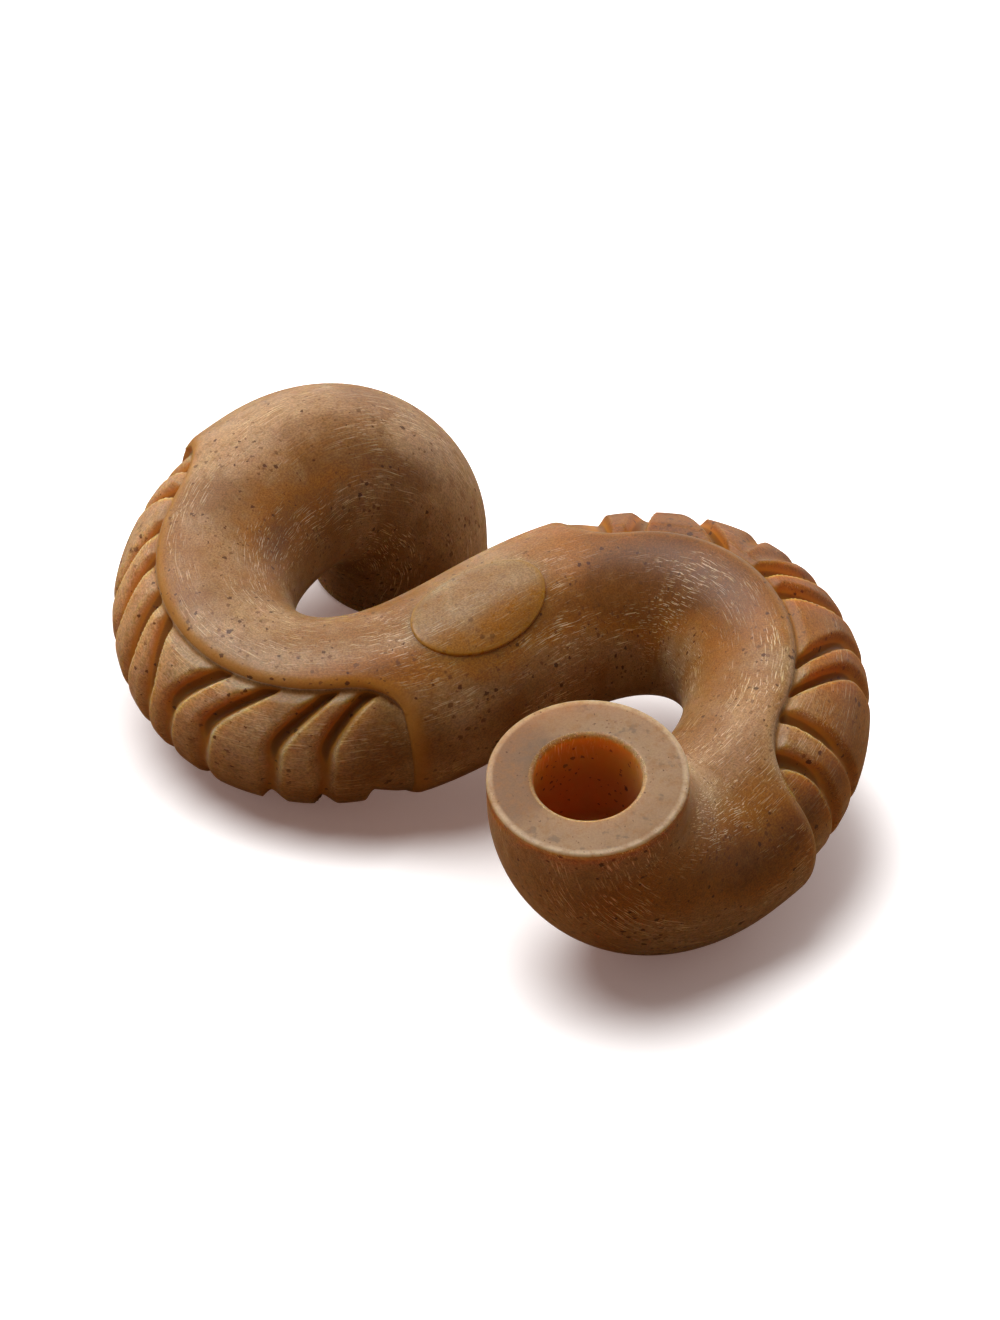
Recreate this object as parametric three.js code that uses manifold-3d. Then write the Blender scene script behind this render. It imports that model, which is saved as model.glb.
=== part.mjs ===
// A moulded dog chew: a thick round bar bent into an S, with a cupped end on each loop
// and a ribbed tread let into the outer side of each loop. One half is the point
// reflection of the other through the middle of the bar.
// Millimetres, +Z up. The chew lies on Z = 0 as it rests by itself, on three points.
import * as THREE from 'three';
import { mergeVertices } from 'three/addons/utils/BufferGeometryUtils.js';
import Module from 'manifold-3d';

const { clamp, degToRad, lerp, mapLinear, radToDeg, smoothstep } = THREE.MathUtils;
const wasm = await Module();
wasm.setup();

// Bar and its centreline, one half, from the middle of the bar to the end face
const TUBE_RADIUS = 16;
const BEND_LENGTH = 36;      // along the centreline, from the middle to the tightest bend
const BEND_RADIUS = 19.7;    // centreline radius of the tightest bend
const LOOP_LENGTH = 60;      // from the tightest bend to the start of the elbow
const LOOP_RADIUS = 57;      // centreline radius of the loop where the elbow starts
const ELBOW_RADIUS = 24;     // the elbow turns the end square to the plane of the S
const STUB_LENGTH = 5.6;     // straight length behind the end face
const BAR_HEADING = 38.2;    // degrees from +X to the middle of the bar, seen from above

// End cups
const BORE_RADIUS = 8.6;
const BORE_DEPTH = 21;
const BORE_MOUTH_ROUND = 0.8;
const BORE_FLOOR_ROUND = 2.5;
const END_ROUND = 0.5;

// Treads: angles go round the bar from the outer side of the loop, up is positive
const TREAD_START = 20;      // along the centreline from the middle of the bar
const TREAD_LENGTH = 70;
const TREAD_UPPER = 81;
const TREAD_LOWER = -64;
const TREAD_START_CORNER = 7;
const TREAD_END_CORNER = 11;
const TREAD_DROP = 0.8;      // rib tops below the bar's surface
const TREAD_THICKNESS = 4;
const SEAT_CLEARANCE = 0.3;
const LIP_FLARE = 1;         // how far the bar swells at the far end of each tread
const LIP_FLARE_REACH = 18;

// Grooves between the ribs: they run straight over the middle and lean towards the lips
const GROOVE_FIRST = 10;     // from the start of the tread to the first groove
const GROOVE_LAST = 6;       // from the last groove to the end of the tread
const GROOVE_WIDTH_MIDDLE = 2.4;
const GROOVE_WIDTH_LIP = 3;
const GROOVE_FLOOR = 0.8;
const GROOVE_SKEW = 0.6;     // at the lips each groove is steeper on one side than on the other
const GROOVE_DEPTH_MIDDLE = 1.1;
const GROOVE_DEPTH_LIP = 2.2;
const LEAN_FROM_UPPER = 35;  // degrees from the middle to where a groove starts to lean
const LEAN_FROM_LOWER = 20;

// Each groove in rib pitches from the first one: its place over the middle, how far it leans at
// the upper and at the lower lip, and the share of its width and depth that reaches the upper lip
const GROOVES = [
  { at: 0, upper: -0.35, lower: -1.2, reach: 1 },
  { at: 1, upper: 1.25, lower: -1.25, reach: 1 },
  { at: 2.4, upper: 0.25, lower: -1.25, reach: 0.1 },
  { at: 3.3, upper: -0.35, lower: -0.9, reach: 0.1 },
  { at: 4, upper: -0.55, lower: 0.75, reach: 1 },
  { at: 4.9, upper: -0.5, lower: 0.65, reach: 1 },
  { at: 5.9, upper: 1.3, lower: 1, reach: 1 },
  { at: 6.8, upper: 1.5, lower: 1.3, reach: 1 },
  { at: 9, upper: 0.15, lower: 0.3, reach: 1 },
  { at: 10, upper: 0.6, lower: 0.4, reach: 1 },
];

// Plain oval pad on the bar
const PAD_LENGTH = 25;
const PAD_WIDTH = 17;
const PAD_HEIGHT = 0.5;
const PAD_ROUND = 0.4;
const PAD_ROOT = 1;
const PAD_STATION = -2;
const PAD_ANGLE = 95;

// Facets
const RING_SIDES = 24;
const HALF_STEPS = 36;
const LATHE_SIDES = 24;
const TREAD_STRIPS = 16;
const POCKET_STRIPS = 10;
const POCKET_STEPS = 18;
const CORNER_STEPS = 5;
const PATH_STEP = 0.25;
const CUTTER_REACH = 2;      // how far a cutter stands out of the surface that it cuts

// Search for the way the chew lies: tilts tried in all directions, from coarse to fine
const TILT_WAYS = 8;
const TILT_COARSE = 0.2;
const TILT_FINE = 1e-6;

const QUARTER_TURN = Math.PI / 2;
const LOOP_END = BEND_LENGTH + LOOP_LENGTH;
const HALF_LENGTH = LOOP_END + ELBOW_RADIUS * QUARTER_TURN + STUB_LENGTH;
const TREAD_END = TREAD_START + TREAD_LENGTH;
const RIB_PITCH = (TREAD_LENGTH - GROOVE_FIRST - GROOVE_LAST) / GROOVES.at(-1).at;

const chewNylon = { color: 0x9c6a3c, roughness: 0.42, metalness: 0 };
const treadNylon = { color: 0x8a5a2e, roughness: 0.5, metalness: 0 };

function curvature(s) {
  if (s < BEND_LENGTH) return s / BEND_LENGTH / BEND_RADIUS;
  const along = Math.min((s - BEND_LENGTH) / LOOP_LENGTH, 1);
  return lerp(1 / BEND_RADIUS, 1 / LOOP_RADIUS, along);
}

// How far the bar has turned up out of the plane of the S
function climbAt(s) {
  return clamp((s - LOOP_END) / ELBOW_RADIUS, 0, QUARTER_TURN);
}

function tangentAt(heading, climb) {
  const level = Math.cos(climb);
  return new THREE.Vector3(level * Math.cos(heading), -level * Math.sin(heading), Math.sin(climb));
}

// The centreline of one half, in the plane of the S, as points at even steps
function traceHalf() {
  const count = Math.ceil(HALF_LENGTH / PATH_STEP);
  const step = HALF_LENGTH / count;
  const points = [new THREE.Vector3()];
  const headings = [0];
  for (let i = 0; i < count; i += 1) {
    const middle = (i + 0.5) * step;
    const turn = curvature(middle) * step;
    points.push(points[i].clone().addScaledVector(tangentAt(headings[i] + turn / 2, climbAt(middle)), step));
    headings.push(headings[i] + turn);
  }
  return { points, headings, step, count };
}

const half = traceHalf();

// Place and directions at a station: along the bar, to the outer side of the loop, and up
function frameAt(station) {
  const side = station < 0 ? -1 : 1;
  const exact = Math.min(Math.abs(station) / half.step, half.count);
  const i = Math.min(Math.floor(exact), half.count - 1);
  const point = half.points[i].clone().lerp(half.points[i + 1], exact - i).multiplyScalar(side);
  const heading = lerp(half.headings[i], half.headings[i + 1], exact - i);
  const along = tangentAt(heading, climbAt(Math.abs(station)));
  const outer = new THREE.Vector3(Math.sin(heading), Math.cos(heading), 0);
  const up = along.clone().cross(outer);
  return { point, along, outer, up };
}

// A point at a station, an angle round the bar and a radius from its centreline
function pointOnBar(station, angle, radius) {
  const { point, outer, up } = frameAt(station);
  point.addScaledVector(outer, radius * Math.cos(angle));
  return point.addScaledVector(up, radius * Math.sin(angle));
}

function signedVolume(geometry) {
  const { position } = geometry.attributes;
  const corner = [0, 1, 2].map(() => new THREE.Vector3());
  let volume = 0;
  for (let i = 0; i < geometry.index.count; i += 3) {
    corner.forEach((c, k) => c.fromBufferAttribute(position, geometry.index.getX(i + k)));
    volume += corner[0].dot(corner[1].cross(corner[2])) / 6;
  }
  return volume;
}

// One closed surface with shared corners, no zero-area faces, and faces pointing out
function closed(geometry) {
  const bare = new THREE.BufferGeometry();
  bare.setAttribute('position', geometry.attributes.position.clone());
  bare.setIndex(geometry.index.clone());
  const merged = mergeVertices(bare, 1e-4);
  const kept = [];
  for (let i = 0; i < merged.index.count; i += 3) {
    const [a, b, c] = [0, 1, 2].map((k) => merged.index.getX(i + k));
    if (a !== b && b !== c && c !== a) kept.push(a, b, c);
  }
  merged.setIndex(kept);
  if (signedVolume(merged) < 0) merged.setIndex(kept.reverse());
  return merged;
}

function solid(geometry) {
  const whole = closed(geometry);
  return new wasm.Manifold(new wasm.Mesh({
    numProp: 3,
    vertProperties: Float32Array.from(whole.attributes.position.array),
    triVerts: Uint32Array.from(whole.index.array),
  }));
}

function geometryOf(manifold) {
  const mesh = manifold.getMesh();
  const geometry = new THREE.BufferGeometry();
  geometry.setAttribute('position', new THREE.BufferAttribute(Float32Array.from(mesh.vertProperties), 3));
  geometry.setIndex(Array.from(mesh.triVerts));
  return geometry;
}

// Moves every corner of a geometry to where place puts it
function wrap(geometry, place) {
  const { position } = geometry.attributes;
  for (let i = 0; i < position.count; i += 1) {
    const to = place(position.getX(i), position.getY(i), position.getZ(i));
    position.setXYZ(i, to.x, to.y, to.z);
  }
  return geometry;
}

function reflected(geometry) {
  return geometry.clone().scale(-1, -1, -1);
}

// The bar swells a little on the outer side of each loop, just past the far end of the tread
function barRadius(station, angle) {
  const past = (Math.abs(station) - TREAD_END) / LIP_FLARE_REACH;
  const swell = Math.max(1 - Math.abs(past), 0) ** 2;
  const outward = station < 0 ? -Math.cos(angle) : Math.cos(angle);
  return TUBE_RADIUS + LIP_FLARE * swell * Math.max(outward, 0);
}

// Rows of corners from the middle of the bar to an end: even steps, then the rounded rim
function barRows() {
  const straight = HALF_LENGTH - END_ROUND;
  const shares = Array.from({ length: HALF_STEPS }, (_, k) => k / HALF_STEPS);
  const rows = shares.map((share) => ({ station: straight * share, inset: 0 }));
  for (let k = 0; k <= CORNER_STEPS; k += 1) {
    const turn = QUARTER_TURN * k / CORNER_STEPS;
    rows.push({ station: straight + END_ROUND * Math.sin(turn), inset: END_ROUND * (1 - Math.cos(turn)) });
  }
  return rows;
}

function bentBar() {
  const rows = barRows();
  const last = rows.length - 1;
  const rod = new THREE.CylinderGeometry(1, 1, 2 * last, RING_SIDES, 2 * last);
  return wrap(rod, (x, y, z) => {
    const row = rows[Math.abs(Math.round(y))];
    const station = Math.sign(y) * row.station;
    const angle = Math.atan2(z, x);
    return pointOnBar(station, angle, Math.hypot(x, z) * (barRadius(station, angle) - row.inset));
  });
}

// Quarter round from one end of a corner to the other, as profile points
function roundCorner(x, y, radius, from, to) {
  const arc = new THREE.Path().absarc(x, y, radius, from, to, from > to);
  return arc.getPoints(CORNER_STEPS);
}

// The cup is turned about the axis of the end face
function cupCutter() {
  const floorRound = roundCorner(
    BORE_RADIUS - BORE_FLOOR_ROUND, -BORE_DEPTH + BORE_FLOOR_ROUND, BORE_FLOOR_ROUND, -QUARTER_TURN, 0);
  const mouthRound = roundCorner(
    BORE_RADIUS + BORE_MOUTH_ROUND, -BORE_MOUTH_ROUND, BORE_MOUTH_ROUND, Math.PI, QUARTER_TURN);
  const profile = [
    new THREE.Vector2(0, -BORE_DEPTH), ...floorRound, ...mouthRound,
    new THREE.Vector2(BORE_RADIUS + BORE_MOUTH_ROUND, CUTTER_REACH), new THREE.Vector2(0, CUTTER_REACH)];
  const end = frameAt(HALF_LENGTH).point;
  return new THREE.LatheGeometry(profile, LATHE_SIDES).rotateX(QUARTER_TURN).translate(end.x, end.y, end.z);
}

// How far a round corner draws in the edge of the tread, at a distance from the tread's end
function cornerInset(distance, radius) {
  const short = radius - clamp(distance, 0, radius);
  return radius - Math.sqrt(radius ** 2 - short ** 2);
}

// The angle round the bar of a point of the tread: across is -1 at the lower lip, 1 at the upper
function treadAngle(station, across) {
  const startInset = cornerInset(station - TREAD_START, TREAD_START_CORNER);
  const endInset = cornerInset(TREAD_END - station, TREAD_END_CORNER);
  const halfAngle = degToRad(TREAD_UPPER - TREAD_LOWER) / 2 - (startInset + endInset) / TUBE_RADIUS;
  return degToRad(TREAD_UPPER + TREAD_LOWER) / 2 + across * halfAngle;
}

// How far a groove has leaned, in rib pitches: nothing over the middle, all of it at the lips
function lean(groove, angle) {
  const degrees = radToDeg(angle);
  const upper = groove.upper * smoothstep(degrees, LEAN_FROM_UPPER, TREAD_UPPER);
  return upper + groove.lower * smoothstep(-degrees, LEAN_FROM_LOWER, -TREAD_LOWER);
}

// The share of a groove's width and depth: some grooves run out before the upper lip
function grooveShare(groove, across) {
  return lerp(1, groove.reach, smoothstep(across, 0, 1));
}

// Steps round a quarter corner as shares of its depth, from the end of the tread inwards
function cornerShares() {
  const turns = Array.from({ length: CORNER_STEPS }, (_, k) => QUARTER_TURN * k / CORNER_STEPS);
  return turns.map((turn) => 1 - Math.cos(turn));
}

// One edge line of a groove: side is -1 or 1, and deep is 1 on the groove's floor
function grooveLine(groove, side, deep) {
  const middle = TREAD_START + GROOVE_FIRST + groove.at * RIB_PITCH;
  const stationAt = (across) => {
    const open = lerp(GROOVE_WIDTH_MIDDLE, GROOVE_WIDTH_LIP, across ** 2);
    const wide = deep ? GROOVE_FLOOR : open;
    const offset = grooveShare(groove, across) * (side * wide / 2 + deep * GROOVE_SKEW * across);
    return middle + RIB_PITCH * lean(groove, treadAngle(middle, across)) + offset;
  };
  const depthAt = (across) => {
    const full = lerp(GROOVE_DEPTH_MIDDLE, GROOVE_DEPTH_LIP, across ** 2);
    return deep * grooveShare(groove, across) * full;
  };
  return { stationAt, depthAt };
}

// The line along the middle of a rib, between the edges of the grooves on each side
function ribCrest(before, after) {
  const stationAt = (across) => (before.stationAt(across) + after.stationAt(across)) / 2;
  return { stationAt, depthAt: () => 0 };
}

// Lines of an end rib, from the end of the tread towards the edge of the groove beside it
function endLines(end, edge) {
  return cornerShares().map((share) => ({
    stationAt: (across) => lerp(end, edge.stationAt(across), share),
    depthAt: () => 0,
  }));
}

// Lines across the tread: each gives its station along the bar for a place across the tread
function treadLines() {
  const lines = endLines(TREAD_START, grooveLine(GROOVES[0], -1, 0));
  GROOVES.forEach((groove, i) => {
    if (i > 0) lines.push(ribCrest(grooveLine(GROOVES[i - 1], 1, 0), grooveLine(groove, -1, 0)));
    lines.push(grooveLine(groove, -1, 0), grooveLine(groove, -1, 1));
    lines.push(grooveLine(groove, 1, 1), grooveLine(groove, 1, 0));
  });
  return lines.concat(endLines(TREAD_END, grooveLine(GROOVES.at(-1), 1, 0)).reverse());
}

// Stations along the seat of a tread, close together round its corners
function pocketStations() {
  const first = cornerShares().map((share) => TREAD_START + share * TREAD_START_CORNER);
  const last = cornerShares().map((share) => TREAD_END - share * TREAD_END_CORNER).reverse();
  const from = TREAD_START + TREAD_START_CORNER;
  const to = TREAD_END - TREAD_END_CORNER;
  const middle = Array.from({ length: POCKET_STEPS + 1 }, (_, k) => lerp(from, to, k / POCKET_STEPS));
  return [...first, ...middle, ...last];
}

// A slab of unit cells, so that a corner's x counts the lines along it and y runs across it
function slab(lines, strips) {
  return new THREE.BoxGeometry(lines - 1, 2, 1, lines - 1, strips, 1).translate((lines - 1) / 2, 0, 0);
}

function tread() {
  const lines = treadLines();
  const ribTop = TUBE_RADIUS - TREAD_DROP;
  return wrap(slab(lines.length, TREAD_STRIPS), (x, across, z) => {
    const line = lines[Math.round(x)];
    const station = line.stationAt(across);
    const radius = z > 0 ? ribTop - line.depthAt(across) : ribTop - TREAD_THICKNESS;
    return pointOnBar(station, treadAngle(station, across), radius);
  });
}

// The seat is the tread's outline, grown by the clearance
function pocketCutter() {
  const stations = pocketStations();
  const floor = TUBE_RADIUS - TREAD_DROP - TREAD_THICKNESS - SEAT_CLEARANCE;
  const top = TUBE_RADIUS + LIP_FLARE + CUTTER_REACH;
  return wrap(slab(stations.length, POCKET_STRIPS), (x, across, z) => {
    const station = stations[Math.round(x)];
    const angle = treadAngle(station, across) + across * SEAT_CLEARANCE / TUBE_RADIUS;
    const grown = mapLinear(station, TREAD_START, TREAD_END, -SEAT_CLEARANCE, SEAT_CLEARANCE);
    return pointOnBar(station + grown, angle, z > 0 ? top : floor);
  });
}

// A disc of radius 1, wrapped to an oval; the rings on its top let it follow the bar's curve
function pad() {
  const foot = -PAD_HEIGHT - PAD_ROOT;
  const flat = 1 - 2 * PAD_ROUND / PAD_WIDTH;
  const side = [[0, foot], [1, foot], [1, -PAD_ROUND]];
  const top = [1, 2 / 3, 1 / 3, 0].map((share) => [flat * share, 0]);
  const profile = [...side, ...top].map(([x, y]) => new THREE.Vector2(x, y));
  return wrap(new THREE.LatheGeometry(profile, LATHE_SIDES), (x, y, z) => {
    const station = PAD_STATION + x * PAD_LENGTH / 2;
    const angle = degToRad(PAD_ANGLE) + z * PAD_WIDTH / 2 / TUBE_RADIUS;
    return pointOnBar(station, angle, TUBE_RADIUS + PAD_HEIGHT + y);
  });
}

// Height of the middle of the bar above the floor when a given direction points up
function restHeight(up) {
  let height = 0;
  for (let i = 0; i <= half.count; i += 1) {
    const along = tangentAt(half.headings[i], climbAt(i * half.step));
    const reach = TUBE_RADIUS * Math.sqrt(Math.max(1 - along.dot(up) ** 2, 0));
    height = Math.max(height, Math.abs(half.points[i].dot(up)) + reach);
  }
  return height;
}

// The direction that points up when the chew lies still: its middle is then as low as it gets
function restDirection() {
  const up = new THREE.Vector3(0, 0, 1);
  const ways = Array.from({ length: TILT_WAYS }, (_, k) => 2 * Math.PI * k / TILT_WAYS);
  for (let tilt = TILT_COARSE; tilt > TILT_FINE; tilt /= 2) {
    for (let moved = true; moved;) {
      const tries = ways.map((way) => (
        up.clone().add(new THREE.Vector3(tilt * Math.cos(way), tilt * Math.sin(way), 0)).normalize()));
      const best = tries.reduce((a, b) => (restHeight(a) <= restHeight(b) ? a : b));
      moved = restHeight(best) < restHeight(up);
      if (moved) up.copy(best);
    }
  }
  return up;
}

// Turns the chew from the plane of the S to the way it lies
function restTurn() {
  const up = restDirection();
  const ahead = frameAt(0).along.projectOnPlane(up).normalize();
  const beside = up.clone().cross(ahead);
  const upright = new THREE.Matrix4().makeBasis(ahead, beside, up).transpose();
  return new THREE.Matrix4().makeRotationZ(degToRad(BAR_HEADING)).multiply(upright);
}

function chewBody() {
  const cutters = [cupCutter(), pocketCutter()];
  let body = solid(bentBar()).add(solid(pad()));
  cutters.flatMap((cutter) => [cutter, reflected(cutter)]).forEach((cutter) => {
    body = body.subtract(solid(cutter));
  });
  return geometryOf(body);
}

function piece(name, geometry, finish) {
  const mesh = new THREE.Mesh(geometry, new THREE.MeshStandardMaterial(finish));
  mesh.name = name;
  mesh.geometry.computeVertexNormals();
  return mesh;
}

const lying = new THREE.Group();
lying.add(piece('chew_body', chewBody(), chewNylon));
lying.add(piece('right_tread', closed(tread()), treadNylon));
lying.add(piece('left_tread', closed(reflected(tread())), treadNylon));
lying.applyMatrix4(restTurn());

const chew = new THREE.Group();
chew.add(lying);
chew.updateMatrixWorld(true);
lying.position.z -= new THREE.Box3().setFromObject(lying, true).min.z;
chew.updateMatrixWorld(true);

export default chew;
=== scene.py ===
import math

import bmesh
import bpy
import numpy as np
from bpy.props import FloatProperty, FloatVectorProperty, PointerProperty
from bpy.types import Operator, Panel, PropertyGroup
from mathutils import Color, Matrix, Vector
from mathutils.kdtree import KDTree


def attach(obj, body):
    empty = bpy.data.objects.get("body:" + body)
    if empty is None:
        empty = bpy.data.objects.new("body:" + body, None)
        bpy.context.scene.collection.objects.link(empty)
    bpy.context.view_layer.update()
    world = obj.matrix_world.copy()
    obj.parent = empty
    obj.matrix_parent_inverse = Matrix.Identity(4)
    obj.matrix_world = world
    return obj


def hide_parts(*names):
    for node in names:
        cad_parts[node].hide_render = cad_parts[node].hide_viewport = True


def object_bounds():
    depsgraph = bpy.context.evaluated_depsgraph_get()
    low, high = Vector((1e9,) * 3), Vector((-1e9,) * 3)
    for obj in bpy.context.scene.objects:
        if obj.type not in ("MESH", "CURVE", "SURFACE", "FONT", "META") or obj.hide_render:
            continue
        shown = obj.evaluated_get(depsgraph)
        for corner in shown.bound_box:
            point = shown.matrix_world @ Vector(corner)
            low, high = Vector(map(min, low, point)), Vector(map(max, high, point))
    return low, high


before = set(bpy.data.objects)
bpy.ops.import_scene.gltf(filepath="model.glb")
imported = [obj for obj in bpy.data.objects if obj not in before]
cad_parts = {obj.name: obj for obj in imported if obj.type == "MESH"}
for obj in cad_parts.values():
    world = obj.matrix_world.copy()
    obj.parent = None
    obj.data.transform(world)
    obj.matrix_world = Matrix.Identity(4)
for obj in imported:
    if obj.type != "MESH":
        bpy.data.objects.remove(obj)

bl_info = {
    "name": "S-shaped Dog Chew",
    "version": (1, 0, 0),
    "blender": (4, 5, 0),
    "location": "View3D > Sidebar > Chew",
    "description": "Builds a moulded nylon dog chew with ribbed treads, on a studio floor",
    "category": "Add Mesh",
}

CAD_LOW, CAD_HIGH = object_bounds()
CENTRE = (CAD_LOW + CAD_HIGH) / 2
BODY = "root"
QUARTER = math.pi / 2
WHITE = Color((1.0, 1.0, 1.0))

# Fineness of the mesh: spacings in metres, numbers of rows, rings and steps, and angles in an edge
PATH_STEP, TOUCH = 0.00025, 1e-7
BAR_ROW, SEAT_ROW, TREAD_ROW = 0.001, 0.0009, 0.00022
RIM_ROW, RIM_STRETCH = 0.0002, 0.004
LIP_ROWS, SEAT_CORNER_ROWS, TREAD_CORNER_ROWS = 8, (14, 18), (46, 64)
ARC_STEPS, GAP_STEPS, SEAT_SPREAD = 60, 20, (0.018, 0.03)
STRIPS, STRIP_CROWDING = 112, 0.7
FACE_RINGS, WALL_RINGS, FLOOR_RINGS = 8, 12, 7
PAD_SIDES, PAD_RINGS = 96, 16
ROUND_STEPS = 6
ROUND_TURNS = QUARTER * np.arange(1, ROUND_STEPS + 1) / ROUND_STEPS

# Form of the grooves and hollows of a tread
EASE_LIMIT, EASE_POWER = 1.2, 1.6
GROOVE_FLOOR, GROOVE_TILT = 0.4, 4
GROOVE_DEEPENS = (0.1, 0.8)
RAMP_POWER, HOLLOW_POWER = 1.5, 4
SLOPE_ANGLES = (math.radians(5), math.radians(35))

# Marks on the mesh for the nylon. Tint: -1 in a seam, 1 on an end face and 2 on its rounded rim,
# which takes a painted highlight. Glow, for painted glow and shade: 1 deep in a groove, less on the
# lips, and -1 on the floor of a cup
SEAM, FACE, PAINTED_HIGHLIGHT = -1.0, 1.0, 2.0
SEAM_REACH = 0.0025
# Painted glow along the tread lips, much stronger on the left lip than on the right
LEFT_LIP_GLOW, RIGHT_LIP_GLOW, LIP_GLOW_CHANGE = 0.55, 0.14, (-0.01, 0.03)
LIP_GLOW_REACH = (0.0004, 0.0034)
# Painted glow in the grooves from their depth, and round the edge of the pad
GROOVE_GLOW_DEPTH = (0.0002, 0.0017)
PAD_GLOW, PAD_GLOW_REACH, PAD_PALER = 0.6, 0.0005, 0.1

# Patches in the nylon, partly its tone and partly painted light and shade: station and angle of the
# middle, reach along and round the bar, strength; a strength above 0 makes it pale, as painted
# light,
# -1 amber and -2 umber, as painted shade
TONE_AND_PAINTED_LIGHT_PATCHES = (
    (0.010, 122, 0.050, 24, -0.9),
    (0.044, 90, 0.028, 44, -1.5),
    (0.044, 38, 0.030, 30, -1.4),
    (0.076, 96, 0.018, 30, 0.4),
    (0.030, 140, 0.016, 30, -0.9),
    (0.084, 20, 0.014, 25, -0.9),
    (0.106, 36, 0.015, 32, -1.3),
    (-0.026, 108, 0.014, 12, -1.0),
    (0.113, -56, 0.010, 18, -0.7),
    (0.124, 20, 0.010, 50, -0.6),
    (0.139, -95, 0.004, 50, -1.5),
    (-0.104, 38, 0.013, 16, -0.9),
    (-0.077, 44, 0.020, 25, -1.4),
    (-0.118, 52, 0.026, 34, 1.1),
    (-0.050, 150, 0.026, 40, 1.5),
    (-0.085, 105, 0.030, 30, 0.5),
    (0.090, 105, 0.016, 25, 0.6),
)

# Each groove of a tread in rib pitches from the first one: its place over the middle, how far it
# leans at the upper and at the lower lip, and the share of it that reaches the upper lip
GROOVES = (
    (0.0, -0.35, -1.2, 1.0),
    (1.0, 1.25, -1.25, 1.0),
    (2.4, 0.25, -1.25, 0.1),
    (3.3, -0.35, -0.9, 0.1),
    (4.0, -0.55, 0.75, 1.0),
    (4.9, -0.5, 0.65, 1.0),
    (5.9, 1.3, 1.0, 1.0),
    (6.8, 1.5, 1.3, 1.0),
    (9.0, 0.15, 0.3, 1.0),
    (10.0, 0.6, 0.4, 1.0),
)

# Noises in the nylon: scale per metre, detail and roughness
NOISES = {
    "clouds": (60.0, 4.0, 0.6),
    "mottle": (500.0, 5.0, 0.7),
    "stains": (420.0, 3.0, 0.6),
    "haze": (42.0, 2.0, 0.5),
    "grit": (3200.0, 2.0, 0.6),
}
CLOUD_EDGE, CLOUD_SWING = (0.34, 0.64), (0.3, 0.7, -0.25, 0.25)
GRIT_SWING, GRIT_OFF_FACE = (0.3, 0.7, 0.74, 1.24), 0.7

# Coats of colour, from first to last: the colour, what it follows, where the coat starts and where
# it is full, how much of the colour shows then, and what else limits it
COATS = (
    # Pale, amber, umber and, on the end faces, stain follow the patches, which mix painted light
    # and shade with the nylon's tone
    ("pale", "patch", 0.1, 1.0, 0.90),
    ("amber_tone_and_painted_shade", "patch", -0.1, -1.0, 0.95),
    ("painted_shade_umber", "patch", -0.7, -1.6, 1.00),
    ("face", "face", 0.0, 1.0, 0.70),
    ("stain", "stains", 0.56, 0.68, 0.60, "on_face"),
    ("stain", "patch", -0.1, -1.0, 0.75, "on_face"),
    # A painted highlight on the rounded rims of the end faces
    ("painted_rim_highlight", "face", 1.0, 1.8, 0.80),
    ("brown", "mottle", 0.46, 0.68, 0.55),
    ("amber_tone_and_painted_shade", "haze", 0.52, 0.70, 0.30),
)
# Painted glow in the grooves and along the lips, and painted shade deep in the grooves
GROOVE_COATS = (
    ("glow", "glow", 0.0, 0.8, 0.90),
    ("painted_shade_umber", "glow", 0.82, 1.0, 0.65),
)
# Painted glow inside the cups, darker deeper in as painted shade
CUP_START, CUP_DEEPENS = (-0.01, -0.06, 0.0, 0.9), (-0.12, -0.60)

# Pale fibres: sway of the grain, scale along and round the bar, and edges of the noise; the bunches
# they lie in; and how soon they fade in the grooves and cups
FIBRE_SWAY, FIBRE_SCALE, FIBRE_EDGE = (130.0, 0.0015), (260.0, 6000.0, 6000.0), (0.575, 0.65)
BUNCH_SCALE, BUNCH_NOISE, BUNCH_EDGE = (0.4, 1.0, 1.0), (110.0, 4.0, 0.65), (0.40, 0.66)
FIBRE_FADE = 3.0

# Specks: colour, cells per metre, size as a share of a cell, share of the cells with one, strength
SPECKS = (
    ("rust", 260.0, 0.22, 0.40, 0.35),
    ("rust", 820.0, 0.37, 0.90, 0.70),
    ("fleck", 620.0, 0.30, 0.85, 0.90),
)
SPECK_SWAY, SPECK_POWER, SPECK_SOFT = (2500.0, 0.0006), 1.3, 0.15
SPECK_CROWD_SCALE, SPECK_CROWDS = 120.0, (0.35, 0.65, 0.55, 1.1)

# Surface of the nylon
FIBRE_ROUGHER, MOTTLE_ROUGHNESS = 0.08, (0.3, 0.7, -0.04, 0.04)
BUMP_STRENGTH, BUMP_DISTANCE, BUMP_MOTTLE = 0.08, 0.0002, 0.6
SEAM_TRANSLUCENCE, FACE_TRANSLUCENCE = 0.3, 0.4
NYLON_IOR, LIGHT_SPREAD, SHEEN_ROUGHNESS = 1.53, (1.0, 0.5, 0.13), 0.40

# Stage
FLOOR_DROP, FLOOR_REACH, FLOOR_CELLS = 0.00015, 3.0, 8
FLOOR_NOISE, FLOOR_MOTTLE = (40.0, 2.0), (0.2, 0.8, 0.0, 0.03)
OPEN_FLOOR, OPEN_FLOOR_SAMPLES = (0.55, 0.94), 16
BACKDROP_RISE, SIDE_RISE = (0.1, 0.9), (0.5, 1.0)
SENSOR_WIDTH, CLIP_RANGE = 36.0, (0.01, 50.0)


def setting(kind, **fixed):
    """A short way to write settings of one kind: name, description and value."""
    def made(name, description, value):
        return kind(name=name, description=description, default=value, **fixed)
    return made


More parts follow.
